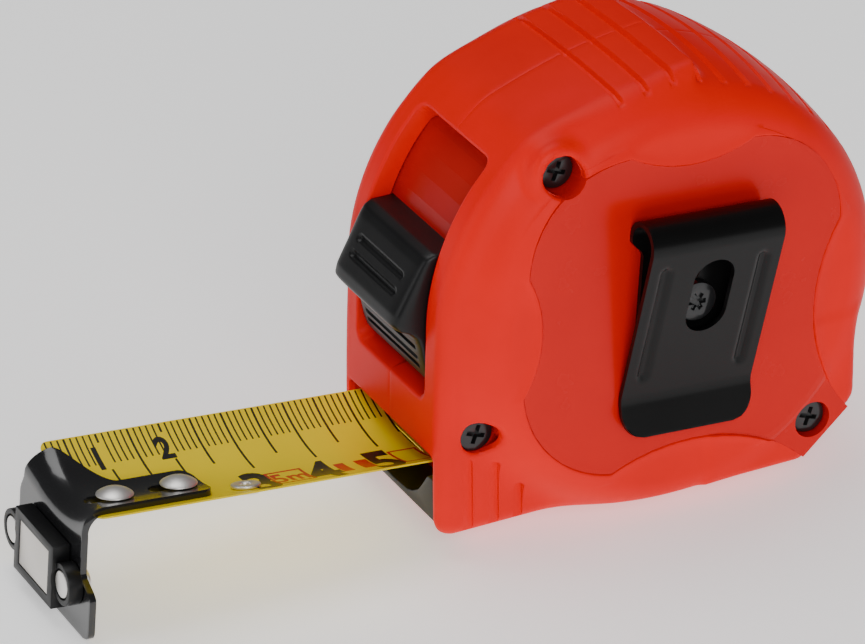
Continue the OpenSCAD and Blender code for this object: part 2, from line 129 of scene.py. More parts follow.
def between_rings(name, first, last):
    """Closed solid between two rings of points in millimetres, with flat ends."""
    count = len(first)
    k = np.arange(count)
    sides = np.stack([k, (k + 1) % count, (k + 1) % count + count, k + count], axis=-1).tolist()
    caps = [list(range(count))[::-1], list(range(count, 2 * count))]
    return solid(name, np.concatenate([first, last]), sides + caps)


def solid(name, verts, faces, smooth_angle=35.0):
    """Object from points in millimetres and faces of any size, with every face turned outwards."""
    mesh = bpy.data.meshes.new(name)
    mesh.from_pydata((np.asarray(verts, float) * MM).tolist(), [], faces)
    outward(mesh)
    shade(mesh, smooth_angle)
    obj = bpy.data.objects.new(name, mesh)
    bpy.context.scene.collection.objects.link(obj)
    return obj


def prism(name, outline, low, high, axes="yzx"):
    """Closed solid: an outline in the first two named axes, carried along the third from low to high."""
    ring = np.zeros((len(outline), 3))
    order = ["xyz".index(a) for a in axes]
    ring[:, order[:2]] = outline
    ends = []
    for level in (low, high):
        end = ring.copy()
        end[:, order[2]] = level
        ends.append(end)
    return between_rings(name, *ends)


def outward(mesh):
    """Turns every face of a closed mesh to point outwards."""
    bm = bmesh.new()
    bm.from_mesh(mesh)
    bmesh.ops.recalc_face_normals(bm, faces=bm.faces)
    bm.to_mesh(mesh)
    bm.free()


def settle(obj, smooth_angle=35.0):
    """Applies the object's modifiers to its mesh."""
    graph = bpy.context.evaluated_depsgraph_get()
    graph.update()
    done = bpy.data.meshes.new_from_object(obj.evaluated_get(graph))
    obj.modifiers.clear()
    obj.data = done
    shade(done, smooth_angle)
    return obj


def cut(obj, cutters, smooth_angle=35.0):
    """Takes the closed cutter solids away from obj and removes them from the scene."""
    for cutter in cutters:
        step = obj.modifiers.new("cut", "BOOLEAN")
        step.operation = "DIFFERENCE"
        step.solver = "EXACT"
        step.object = cutter
    settle(obj, smooth_angle)
    for cutter in cutters:
        bpy.data.objects.remove(cutter)
    return obj


def bevel(obj, width, segments=3, angle=35.0):
    """Rounds the edges of obj that are sharper than the angle."""
    step = obj.modifiers.new("round", "BEVEL")
    step.width = width * MM
    step.segments = segments
    step.limit_method = "ANGLE"
    step.angle_limit = math.radians(angle)
    step.harden_normals = False
    return obj


def softened(node, name, width, segments=2, angle=40.0):
    """Copy of a frame node with its doubles merged, flat facets joined and edges rounded."""
    mesh = NODES[node].data.copy()
    mesh.name = name
    bm = bmesh.new()
    bm.from_mesh(mesh)
    bmesh.ops.remove_doubles(bm, verts=bm.verts, dist=0.004 * MM)
    bmesh.ops.dissolve_limit(bm, angle_limit=math.radians(0.5), verts=bm.verts, edges=bm.edges)
    bm.to_mesh(mesh)
    bm.free()
    mesh.materials.clear()
    obj = bpy.data.objects.new(name, mesh)
    bpy.context.scene.collection.objects.link(obj)
    bevel(obj, width, segments, angle)
    return settle(obj, angle)


def rounded_rect(x0, x1, z0, z1, radius, steps=6):
    """Outline of a rectangle with its four corners rounded by arcs."""
    corners = ((x1 - radius, z1 - radius, 0), (x0 + radius, z1 - radius, 90),
               (x0 + radius, z0 + radius, 180), (x1 - radius, z0 + radius, 270))
    out = []
    for cx, cz, start in corners:
        a = np.radians(start + np.linspace(0, 90, steps))
        out.append(np.stack([cx + radius * np.cos(a), cz + radius * np.sin(a)], axis=-1))
    return np.concatenate(out)


def smoothstep(t):
    """Rises from 0 to 1 with level ends as t goes from 0 to 1."""
    t = np.clip(t, 0.0, 1.0)
    return t * t * (3 - 2 * t)


# ---------------------------------------------------------------- materials
def material(name, colour, rough, metallic=0.0, coat=0.0, bump=(), tint=0.0, tint_scale=60.0,
             specular=0.5, coat_rough=0.1, rough_vary=0.0, glow=0.0):
    """Principled finish with drift in colour and roughness, and noise bumps of a scale and a height in mm."""
    mat = bpy.data.materials.new(name)
    mat.use_nodes = True
    tree = mat.node_tree
    shader = tree.nodes["Principled BSDF"]
    shader.inputs["Base Color"].default_value = (*colour, 1.0)
    shader.inputs["Roughness"].default_value = rough
    shader.inputs["Metallic"].default_value = metallic
    shader.inputs["Coat Weight"].default_value = coat
    shader.inputs["Coat Roughness"].default_value = coat_rough
    shader.inputs["Emission Color"].default_value = (1.0, 1.0, 1.0, 1.0)
    shader.inputs["Emission Strength"].default_value = glow
    shader.inputs["Specular IOR Level"].default_value = specular
    place = tree.nodes.new("ShaderNodeTexCoord")
    if tint:
        drift = noise_node(tree, place, tint_scale, 3.0)
        ramp = tree.nodes.new("ShaderNodeValToRGB")
        ramp.color_ramp.elements[0].position = 0.3
        ramp.color_ramp.elements[1].position = 0.7
        ramp.color_ramp.elements[0].color = (*[c * (1 - tint) for c in colour], 1.0)
        ramp.color_ramp.elements[1].color = (*[min(1.0, c * (1 + tint)) for c in colour], 1.0)
        tree.links.new(drift.outputs["Fac"], ramp.inputs["Fac"])
        tree.links.new(ramp.outputs["Color"], shader.inputs["Base Color"])
    if rough_vary:
        wear = noise_node(tree, place, 140.0, 5.0)
        span = tree.nodes.new("ShaderNodeMapRange")
        span.inputs["To Min"].default_value = max(0.02, rough - rough_vary)
        span.inputs["To Max"].default_value = rough + rough_vary
        tree.links.new(wear.outputs["Fac"], span.inputs["Value"])
        tree.links.new(span.outputs["Result"], shader.inputs["Roughness"])
    last = None
    for scale, height in bump:
        grain = noise_node(tree, place, scale, 2.0)
        step = tree.nodes.new("ShaderNodeBump")
        step.inputs["Strength"].default_value = 1.0
        step.inputs["Distance"].default_value = height * MM
        tree.links.new(grain.outputs["Fac"], step.inputs["Height"])
        if last:
            tree.links.new(last.outputs["Normal"], step.inputs["Normal"])
        last = step
    if last:
        tree.links.new(last.outputs["Normal"], shader.inputs["Normal"])
    return mat


def noise_node(tree, place, scale, detail):
    """Noise on the piece's own coordinates; the scale is in cycles per metre."""
    node = tree.nodes.new("ShaderNodeTexNoise")
    node.inputs["Scale"].default_value = scale
    node.inputs["Detail"].default_value = detail
    tree.links.new(place.outputs["Object"], node.inputs["Vector"])
    return node


RUBBER = material("red_grip_rubber", (0.90, 0.003, 0.001), 0.46, bump=((2600.0, 0.006), (300.0, 0.02)),
                  tint=0.05, rough_vary=0.05, specular=0.16)
PANEL = material("red_case_plastic", (0.72, 0.003, 0.001), 0.26, bump=((1500.0, 0.003), (90.0, 0.03)),
                 tint=0.04, rough_vary=0.05, specular=0.2)
COVER = material("red_slot_plastic", (0.50, 0.005, 0.004), 0.34, bump=((1500.0, 0.003),), tint=0.05)
BLACK_PLASTIC = material("black_moulded_plastic", (0.006, 0.006, 0.0065), 0.38, bump=((2400.0, 0.005),),
                         tint=0.2, rough_vary=0.06, specular=0.3)
INNER_PLASTIC = material("dark_inner_plastic", (0.09, 0.09, 0.10), 0.5, bump=((900.0, 0.006),), tint=0.15)
LINER = material("white_liner_plastic", (0.80, 0.80, 0.76), 0.4, bump=((900.0, 0.004),), tint=0.04)
BLACK_STEEL = material("black_coated_steel", (0.010, 0.010, 0.011), 0.20, coat=0.5, coat_rough=0.06,
                       bump=((700.0, 0.004), (150.0, 0.02)), tint=0.2, rough_vary=0.05)
CLIP_STEEL = material("black_clip_steel", (0.004, 0.004, 0.004), 0.30, bump=((2200.0, 0.004),),
                      tint=0.2, rough_vary=0.05, specular=0.22)
BRIGHT = material("plated_rivet_steel", (0.86, 0.84, 0.81), 0.42, metallic=0.9, bump=((500.0, 0.01),),
                  tint=0.05, rough_vary=0.08)
MAGNET = material("plated_magnet", (0.74, 0.70, 0.65), 0.38, metallic=0.85,
                  bump=((1800.0, 0.006), (220.0, 0.02)), tint=0.06, rough_vary=0.08)
SPRING = material("bare_spring_steel", (0.42, 0.44, 0.47), 0.3, metallic=1.0, bump=((1200.0, 0.004),),
                  tint=0.1)
SCREW = material("black_oxide_steel", (0.014, 0.014, 0.015), 0.28, metallic=0.2, coat=0.3,
                 bump=((1600.0, 0.005),), tint=0.2)
TAPE = material("yellow_tape_coat", (0.95, 0.72, 0.001), 0.36, coat=0.06, coat_rough=0.15,
                bump=((260.0, 0.006),), tint=0.04, rough_vary=0.05, specular=0.25)
TAPE_BACK = material("pale_tape_back", (0.84, 0.70, 0.14), 0.35, coat=0.25, bump=((260.0, 0.006),), tint=0.04)
INK = material("black_scale_ink", (0.012, 0.011, 0.010), 0.34, coat=0.3, tint=0.25, tint_scale=900.0)
RED_INK = material("red_scale_ink", (0.62, 0.012, 0.012), 0.34, coat=0.3, tint=0.12, tint_scale=900.0)

CAD_FINISH = {"shell_clip_side": PANEL, "shell_plain_side": PANEL, "slot_cover": COVER, "spindle": SPRING,
              "liner_clip_side": LINER, "liner_plain_side": LINER, "reel_drum": INNER_PLASTIC,
              "reel_cover": INNER_PLASTIC, "power_spring": SPRING, "blade_coil": TAPE, "blade_lead": TAPE,
              "lock_carriage": INNER_PLASTIC, "lock_rivets": BRIGHT, "brake_shoe": INNER_PLASTIC}


def finish_node(node, mat):
    """Gives a carried-over frame node its finish."""
    mesh = NODES[node].data
    mesh.materials.clear()
    mesh.materials.append(mat)


def place(obj, mats, body, node_names, slot):
    """Gives a new piece its finishes, the body it moves with (none if it bends between two) and the nodes it
    stands for. The slot argument is not used."""
    obj.data.materials.clear()
    for mat in mats:
        obj.data.materials.append(mat)
    if body:
        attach(obj, body)
    if node_names:
        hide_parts(*node_names)
    return obj


# ---------------------------------------------------------------- case
def smooth_min(a, b, k):
    """Lower of two fields, blended over a width k where they meet."""
    h = np.clip(0.5 + 0.5 * (b - a) / k, 0.0, 1.0)
    return b * (1 - h) + a * h - k * h * (1 - h)


def smooth_max(a, b, k):
    """Higher of two fields, blended over a width k where they meet."""
    return -smooth_min(-a, -b, k)


def rounded_corner(a, b, radius):
    """Overlap of two solids with their shared edge rounded: the distance round a corner of that radius."""
    both = np.hypot(np.maximum(a + radius, 0), np.maximum(b + radius, 0))
    return np.minimum(np.maximum(a + radius, b + radius), 0) + both - radius


def half_plane(x, z, start, end):
    """Distance to the right of the way from start to end, in the side view."""
    dx, dz = end[0] - start[0], end[1] - start[1]
    return ((x - start[0]) * dz - (z - start[1]) * dx) / math.hypot(dx, dz)


def case_field(x, y, z):
    """Negative inside the case: a crowned disc joined softly to the nose block, the foot and a screw boss."""
    ay, zr = np.abs(y), z - AXIS_Z
    r = np.hypot(x, zr)
    crown_r = (EDGE_START ** 2 + CROWN_DROP ** 2) / (2 * CROWN_DROP)
    crown = DOME_R - (crown_r - np.sqrt(crown_r ** 2 - np.minimum(ay, 21.0) ** 2))
    disc = rounded_corner(r - crown, ay - PANEL_Y, EDGE_R)
    upper = np.where(zr > 0, r - FRONT_R, -x - FRONT_R + 0.0753 * zr)
    front = smooth_max(upper, -FRONT_X - x, 1.2)
    shoulder = half_plane(x, z, (-12.0, 63.9), (-17.5, 62.6))
    outline = smooth_max(rounded_corner(front, -z, 3.0), shoulder, 1.4)
    nose = rounded_corner(np.maximum(outline, x - 5), ay - NOSE_Y, 2.5)
    heel = smooth_max(half_plane(x, z, (20.6, 0.0), (28.6, 7.6)), x - 29.8, 1.0)
    heel = np.maximum(np.maximum(smooth_max(heel, -z, 0.6), z - 24), 4 - x)
    foot = rounded_corner(heel, ay - PANEL_Y + 0.3, 1.6)
    boss = np.maximum(rounded_corner(np.hypot(x + 18.9, z - 56.4) - 4.7, ay - 18.6, 1.4), y)
    body = smooth_min(disc, nose, 3.6 - 1.2 * smoothstep((z - 53.0) / 5.0))
    body = smooth_min(body, foot, 1.4)
    body = smooth_min(body, boss, 1.4)
    return smooth_max(body, -z, 0.9)


def surface_along(origin, way, reach):
    """Distance from each origin to the case's surface along its way, by halving the span."""
    low, high = np.zeros(origin.shape[:-1]), np.full(origin.shape[:-1], reach)
    for _ in range(26):
        middle = (low + high) / 2
        p = origin + way * middle[..., None]
        inside = case_field(p[..., 0], p[..., 1], p[..., 2]) < 0
        low, high = np.where(inside, middle, low), np.where(inside, high, middle)
    return (low + high) / 2


def arc_between(p, q, sag, steps):
    """Points from p to q on an arc that stands off to the left by sag, or to the right if it is negative."""
    p, q = np.array(p, float), np.array(q, float)
    d = q - p
    length = np.hypot(*d)
    normal = np.array([-d[1], d[0]]) / length
    t = np.linspace(0, 1, steps)
    radius = (length ** 2 / 4 + sag ** 2) / (2 * abs(sag))
    half = math.asin(min(1.0, length / 2 / radius))
    along = np.sin((2 * t - 1) * half) * radius / length + 0.5
    rise = (np.cos((2 * t - 1) * half) - math.cos(half)) * radius * math.copysign(1, sag)
    return p + along[:, None] * d + rise[:, None] * normal


def panel_outline():
    """Scalloped outline of the side panel, anticlockwise in x and z."""
    p1, p2, p3, p4 = (-8.6, 57.4), (11.3, 56.3), (25.9, 39.9), (28.3, 7.5)
    p5, p6, p7, p8 = (20.8, 0.9), (-11.9, 7.0), (-26.1, 23.2), (-25.1, 42.2)
    runs = ((p4, p3, 5.3), (p3, p2, -4.4), (p2, p1, 2.6), (p1, p8, -4.6), (p8, p7, 2.6), (p7, p6, -3.6),
            (p6, p5, 5.2), (p5, p4, -0.3))
    return np.concatenate([arc_between(a, b, sag, 16)[:-1] for a, b, sag in runs])


def panel_reach(angle):
    """Radius of the panel's outline about the reel axis, at angles above the forward horizontal."""
    ring = panel_outline()
    a = np.degrees(np.arctan2(ring[:, 1] - AXIS_Z, -ring[:, 0]))
    r = np.hypot(ring[:, 0], ring[:, 1] - AXIS_Z)
    order = np.argsort(a)
    return np.interp(angle, a[order], r[order], period=360)


def round_rect_distance(u, v, half_u, half_v, radius):
    """Distance outside a rectangle with rounded corners, negative inside."""
    du, dv = np.abs(u) - half_u + radius, np.abs(v) - half_v + radius
    return np.minimum(np.maximum(du, dv), 0) + np.hypot(np.maximum(du, 0), np.maximum(dv, 0)) - radius


def rim_dip(distance, radius):
    """How far a surface falls as it rolls over a rim of that radius towards an edge at distance 0."""
    d = np.clip(radius - distance, 0, radius)
    return radius - np.sqrt(np.maximum(radius ** 2 - d ** 2, 0))


def grip_angles():
    """Angles of the grid round the reel axis, closest where the grooves and the slot's ends are."""
    fine = 1.0
    runs = ((-180, -146, 0.9), (-146, -118, 0.25), (-118, -62, 0.9), (-62, -22, 0.4), (-22, -10, 0.3),
            (-10, 40, 0.9), (40, 50, 0.3),            (50, 72, 0.7), (72, 151, 0.3), (151, 180, 0.8))
    return np.concatenate([np.arange(a, b, step * fine) for a, b, step in runs])


def groove_depth(angle, y):
    """Depth of the grip grooves that run across the crown, one every 7.2 degrees."""
    depth = np.zeros_like(angle)
    for groove in CROWN_GROOVES:
        off = np.abs(angle - groove) * math.radians(1) * DOME_R
        depth = np.maximum(depth, 0.7 * smoothstep((0.58 - off) / 0.2))
    return depth * smoothstep((16.6 - np.abs(y)) / 0.9)


def nose_groove_cutters(side):
    """Round-topped upright cutters that take three grooves, 0.5 mm deep, out of the side of the nose."""
    out = []
    for centre, half, top in NOSE_GROOVES:
        a = np.linspace(0, math.pi, 14)
        ring = np.concatenate([np.stack([centre + half * np.cos(a), top - half + half * np.sin(a)], axis=-1),
                               [[centre - half, -1.0], [centre + half, -1.0]]])
        start = np.array([[centre, 12.0 * side, top / 2]])
        face = 12.0 + float(surface_along(start, np.array([[0.0, side, 0.0]]), 20.0)[0])
        out.append(prism("groove_cutter", ring, *sorted((side * (face - 0.5), side * (face + 4.0))), "xzy"))
    return out


def grip(name, side):
    """Rubber grip of one half: for each angle round the reel axis a path runs from the middle seam over the
    crown, round the disc's edge and in to the scalloped panel. Each point lies where its ray leaves the case.
    The path returns 1.5 mm deeper, so the piece is a closed skin."""
    angle = grip_angles()
    rad = np.radians(angle)
    out = np.stack([-np.cos(rad), np.zeros_like(rad), np.sin(rad)], axis=-1)
    axis = np.array([0.0, 0.0, AXIS_Z])
    centre_r = surface_along(axis + 10 * out, out, 60.0) + 10
    panel_r = panel_reach(angle)
    core_r = np.minimum(np.maximum(centre_r - 6, panel_r), centre_r - 0.8)
    inner_r = np.minimum(panel_r, core_r)

    across = np.concatenate([[0, 0.15, 0.4, 1.0, 2.5, 4, 5.5, 7, 8.3, 9.2], np.arange(9.8, 12.01, 0.25)])
    fan = np.radians(np.linspace(0, 90, 24))[1:]
    inward = 1 - (1 - np.linspace(0, 1, 34)[1:]) ** 1.6
    y_sign = np.array([0.0, side, 0.0])
    shape = (len(angle), len(across) + len(fan) + len(inward), 3)
    origin, way = np.zeros(shape), np.zeros(shape)
    n1, n2 = len(across), len(across) + len(fan)
    origin[:, :n1] = axis + 10 * out[:, None] + across[None, :, None] * y_sign
    way[:, :n1] = out[:, None]
    origin[:, n1:n2] = (axis + core_r[:, None] * out + 12 * y_sign)[:, None]
    way[:, n1:n2] = out[:, None] * np.cos(fan)[None, :, None] + y_sign * np.sin(fan)[None, :, None]
    radius = core_r[:, None] + (inner_r - core_r)[:, None] * inward
    origin[:, n2:] = axis + radius[..., None] * out[:, None] + 12 * y_sign
    way[:, n2:] = y_sign
    t = surface_along(origin, way, 60.0)
    p = origin + way * t[..., None]

    grid_angle = np.broadcast_to(angle[:, None], t.shape)
    lift = -groove_depth(grid_angle, p[..., 1]) * (np.arange(shape[1]) < n2)
    lift -= 0.08 * np.clip(1 - np.abs(p[..., 1]) / 0.3, 0, 1)
    middle = (SLOT_LOW + SLOT_HIGH) / 2
    along = np.radians(grid_angle - middle) * FRONT_R
    slot_off = round_rect_distance(along, p[..., 1], math.radians(SLOT_HIGH - middle) * FRONT_R, SLOT_Y, 1.8)
    lift -= rim_dip(slot_off, 0.5) * (grid_angle > -30) * (grid_angle < 60)
    mouth_off = round_rect_distance(p[..., 1], p[..., 2], MOUTH_Y, MOUTH_TOP, 0.8)
    lift -= rim_dip(mouth_off, 0.5) * (p[..., 0] < -35) * (grid_angle < -15)
    for x, z, well in WELLS:
        off = np.hypot(p[..., 0] - x, p[..., 2] - z) - well
        lift -= rim_dip(off, 0.5) * (np.abs(p[..., 1]) > 13)
    edge = np.full(t.shape, 50.0)
    edge[:, n2:] = radius - inner_r[:, None]
    lift += 0.22 * np.exp(-(edge / 1.3) ** 2) - rim_dip(edge, 0.35)
    skin = GRIP_T + 1.8 * smoothstep((1.9 - np.abs(slot_off)) / 0.7) * (np.abs(grid_angle - middle) < 45)

    outer = origin + way * (t + lift)[..., None]
    inner = (origin + way * (t - skin)[..., None])[:, ::-3]
    loop = np.concatenate([outer, inner], axis=1)
    obj = grid_object(name, loop, close_u=True, close_v=True, flip=side < 0)
    face_angle = np.repeat(np.arange(len(angle)), loop.shape[1])
    chamfer = (panel_r > centre_r - 1.2)[face_angle]
    obj.data.polygons.foreach_set("material_index", chamfer.astype(np.int32))
    return obj


def slot_cutter():
    """Solid of the button's slot: its outline with rounded corners, carried outwards from the reel axis."""
    middle = (SLOT_LOW + SLOT_HIGH) / 2
    half = math.radians(SLOT_HIGH - middle)
    ring = rounded_rect(-half * FRONT_R, half * FRONT_R, -SLOT_Y, SLOT_Y, 1.8, 7)
    long = [ring[0]]
    for a, b in zip(ring, np.roll(ring, -1, axis=0)):
        steps = max(1, int(np.hypot(*(b - a)) / 1.5))
        long += [a + (b - a) * k / steps for k in range(1, steps + 1)]
    ring = np.array(long[:-1])
    a = ring[:, 0] / FRONT_R + math.radians(middle)
    count = len(ring)
    verts = np.concatenate([np.stack([-r * np.cos(a), ring[:, 1], AXIS_Z + r * np.sin(a)], axis=-1)
                            for r in (30.0, 45.0)] + [[[-30 * math.cos(math.radians(middle)), 0,
                            AXIS_Z + 30 * math.sin(math.radians(middle))], [-46.0, 0, AXIS_Z + 13.0]]])
    k = np.arange(count)
    n = (k + 1) % count
    faces = np.stack([k, n, n + count, k + count], axis=-1).tolist()
    faces += np.stack([n, k, np.full(count, 2 * count)], axis=-1).tolist()
    faces += np.stack([k + count, n + count, np.full(count, 2 * count + 1)], axis=-1).tolist()
    return solid("slot_cutter", verts, faces)


def circle_outline(x, z, radius, steps=48):
    """Circle as an outline."""
    a = np.linspace(0, 2 * math.pi, steps, endpoint=False)
    return np.stack([x + radius * np.cos(a), z + radius * np.sin(a)], axis=-1)


def case_pieces():
    """Both grips, with the slot, the mouth, the nose's grooves and the clip side's screw wells cut out, then
    the bumper bar and the case screws."""
    mouth = rounded_rect(-MOUTH_Y, MOUTH_Y, -6.0, MOUTH_TOP, 0.8)
    for name, node, side in (("grip_skin_clip_side", "grip_clip_side", -1),
                             ("grip_skin_plain_side", "grip_plain_side", 1)):
        obj = grip(name, side)
        cutters = [slot_cutter(), prism("mouth_cutter", mouth, -45, -32)]
        if side < 0:
            cutters += [prism("well_cutter", circle_outline(x, z, r), -30, -11, "xzy") for x, z, r in WELLS]
        cutters += nose_groove_cutters(side)
        cut(obj, cutters, 40.0)
        place(obj, (RUBBER, PANEL), "case", (node,), "grip_rubber")
    bumper = softened("nose_bumper", "bumper_bar", 0.3)
    place(bumper, (BLACK_PLASTIC,), "case", ("nose_bumper",), "black_plastic")
    screws = softened("case_screws", "case_screw_set", 0.12)
    place(screws, (SCREW,), "case", ("case_screws",), "black_screw")


# ---------------------------------------------------------------- band and its scale
def on_blade(x, w, h):
    """Point on the hollow band: x inwards from the mouth, w round its curve, h above its upper face."""
    a = w / BLADE_R
    r = BLADE_R - h
    y = r * np.sin(a)
    z = BLADE_R + BLADE_T - r * np.cos(a)
    c, s = math.cos(BLADE_PITCH), math.sin(BLADE_PITCH)
    return np.stack([MOUTH_POINT[0] + x * c + z * s, y, MOUTH_POINT[2] - x * s + z * c], axis=-1)


def from_hook(s, w, h):
    """Point on the band at s inwards from the hook's zero face."""
    return on_blade(s - BLADE_OUT, w, h)


def band():
    """Steel band: a shallow trough carried along its length, its two faces joined round the edge, with the
    outer corners rounded and the end drawn back where the hook's bend comes over it."""
    s = np.concatenate([HOOK_T + 1.2 * (1 - np.cos(np.linspace(0, math.pi / 2, 8))),
                        np.linspace(HOOK_T + 1.4, BLADE_OUT + 3.4, 90)])
    lead = np.clip((s - HOOK_T) / 1.2, 0, 1)
    half = BLADE_W / 2 - 1.2 * (1 - np.sqrt(1 - (1 - lead) ** 2))
    u = np.linspace(-1, 1, 41)
    w = half[:, None] * u[None, :]
    drawn_back = np.clip(1 - (s[:, None] - HOOK_T) / 5, 0, 1) * smoothstep((9.0 - np.abs(w)) / 1.5)
    sg = s[:, None] + 2.3 * drawn_back
    top = from_hook(sg, w, 0.0)
    low = from_hook(sg, w, -BLADE_T)[:, ::-1]
    loop = np.concatenate([top, low], axis=1)
    faces = grid_faces(loop.shape[0], loop.shape[1], close_v=True)
    n = loop.shape[1]
    ends = [list(range(n))[::-1], list(range((len(s) - 1) * n, len(s) * n))]
    obj = solid("tape_band", loop.reshape(-1, 3), faces.tolist() + ends, 40.0)
    column = np.tile(np.arange(n), len(s) - 1)
    back = (column >= 41) & (column < n - 1)
    index = np.concatenate([back.astype(np.int32), [0, 0]])
    obj.data.polygons.foreach_set("material_index", index.astype(np.int32))
    return place(obj, (TAPE, TAPE_BACK), "blade", ("blade",), "tape_yellow")


def print_strip(s0, s1, w0, w1, steps=6, h=0.018):
    """Thin closed patch of ink on the band between two places along it and two across it."""
    w = np.linspace(w0, w1, steps)
    ring = [(s0, h), (s1, h), (s1, -0.05), (s0, -0.05)]
    pts = np.stack([from_hook(np.full(steps, s), w, up) for s, up in ring], axis=1)
    k = np.arange(steps - 1)[:, None] * 4 + np.arange(4)[None, :]
    nxt = np.arange(steps - 1)[:, None] * 4 + (np.arange(4)[None, :] + 1) % 4
    sides = np.stack([k, nxt, nxt + 4, k + 4], axis=-1).reshape(-1, 4)
    caps = np.array([[3, 2, 1, 0], np.array([0, 1, 2, 3]) + 4 * (steps - 1)])
    return pts.reshape(-1, 3), np.concatenate([sides, caps])


def joined(name, parts):
    """One object from several lots of points and faces."""
    verts, faces, base = [], [], 0
    for v, f in parts:
        verts.append(v)
        faces.append(f + base)
        base += len(v)
    obj = new_object(name, np.concatenate(verts), np.concatenate(faces), 30.0)
    outward(obj.data)
    return obj


def tick_marks():
    """Millimetre marks from the far edge: long at centimetres, middling at fives, broken round a numeral."""
    parts = []
    edge = BLADE_W / 2 - 0.15
    for k in range(2, 56):
        if k in (10, 20):
            spans = ((edge, 10.8), (5.3, -0.2))
        elif k % 10 == 0:
            spans = ((edge, -0.2),)
        elif k % 5 == 0:
            spans = ((edge, 2.7),)
        else:
            spans = ((edge, 6.65),)
        wide = 0.17 if k % 5 == 0 else 0.13
        for near, far in spans:
            parts.append(print_strip(k - wide, k + wide, far, near, 12))
    return joined("scale_ticks", parts)


def frame_marks(s0, s1, w0, w1, line):
    """Four strips that make an outlined box on the band."""
    return [print_strip(s0, s1, w1 - line, w1), print_strip(s0, s1, w0, w0 + line),
            print_strip(s0, s0 + line, w0, w1), print_strip(s1 - line, s1, w0, w1)]


def lettering(name, words, height, s_mid, w_top, bold):
    """Characters as a thin closed slab on the band: drawn flat, cut across every 0.6 mm, then bent to it."""
    curve = bpy.data.curves.new(name, "FONT")
    curve.body = words
    curve.extrude = 0.5
    curve.offset = bold
    curve.resolution_u = 4
    flat = bpy.data.objects.new(name, curve)
    bpy.context.scene.collection.objects.link(flat)
    graph = bpy.context.evaluated_depsgraph_get()
    graph.update()
    mesh = bpy.data.meshes.new_from_object(flat.evaluated_get(graph))
    bpy.data.objects.remove(flat)
    bm = bmesh.new()
    bm.from_mesh(mesh)
    bmesh.ops.remove_doubles(bm, verts=bm.verts, dist=1e-5)
    co = np.array([v.co for v in bm.verts])
    low, high = co.min(0), co.max(0)
    scale_y = height / (high[1] - low[1])
    scale_x = scale_y * CONDENSE
    for cut_w in np.arange(0.6, height, 0.6):
        bmesh.ops.bisect_plane(bm, geom=bm.verts[:] + bm.edges[:] + bm.faces[:], dist=1e-6,
                               plane_co=(0, low[1] + cut_w / scale_y, 0), plane_no=(0, 1, 0))
    bm.to_mesh(mesh)
    bm.free()
    co = np.zeros(len(mesh.vertices) * 3)
    mesh.vertices.foreach_get("co", co)
    co = co.reshape(-1, 3)
    s = s_mid + (co[:, 0] - (low[0] + high[0]) / 2) * scale_x
    w = w_top + (co[:, 1] - high[1]) * scale_y
    h = np.where(co[:, 2] > 0, 0.02, -0.05)
    mesh.vertices.foreach_set("co", (from_hook(s, w, h) * MM).ravel())
    outward(mesh)
    shade(mesh, 30.0)
    obj = bpy.data.objects.new(name, mesh)
    bpy.context.scene.collection.objects.link(obj)
    return obj


def scale_print():
    """The printed scale: marks, numerals, the length mark in its box and two plain blocks."""
    place(tick_marks(), (INK,), "blade", (), "tape_yellow")
    for words, s_mid, w_top, height in (("1", 8.8, 10.1, 4.6), ("2", 19.2, 10.1, 4.6), ("3", 28.4, -1.5, 9.4),
                                        ("4", 38.2, -1.5, 9.4), ("5", 48.1, -1.5, 9.4)):
        place(lettering("numeral_" + words, words, height, s_mid, w_top, 0.035), (INK,), "blade", (),
              "tape_yellow")
    red = frame_marks(30.1, 36.0, -8.8, -2.7, 0.4)
    red += frame_marks(50.2, 54.9, -8.8, -2.4, 0.4)
    red += [print_strip(40.9, 42.5, -7.9, -3.6), print_strip(44.2, 46.2, -7.9, -3.6)]
    place(joined("red_marks", red), (RED_INK,), "blade", (), "tape_yellow")
    place(lettering("length_mark", "5m", 4.2, 33.1, -3.6, 0.02), (RED_INK,), "blade", (), "tape_yellow")


# ---------------------------------------------------------------- hook group
def hook_frame(x, y, z):
    """Point in the hook's own axes: x inwards from the zero face, y across, z off the band's lower face."""
    c, s = math.cos(BLADE_PITCH), math.sin(BLADE_PITCH)
    x = x - BLADE_OUT
    return np.stack([MOUTH_POINT[0] + x * c + z * s, y + 0 * x, MOUTH_POINT[2] - x * s + z * c], axis=-1)


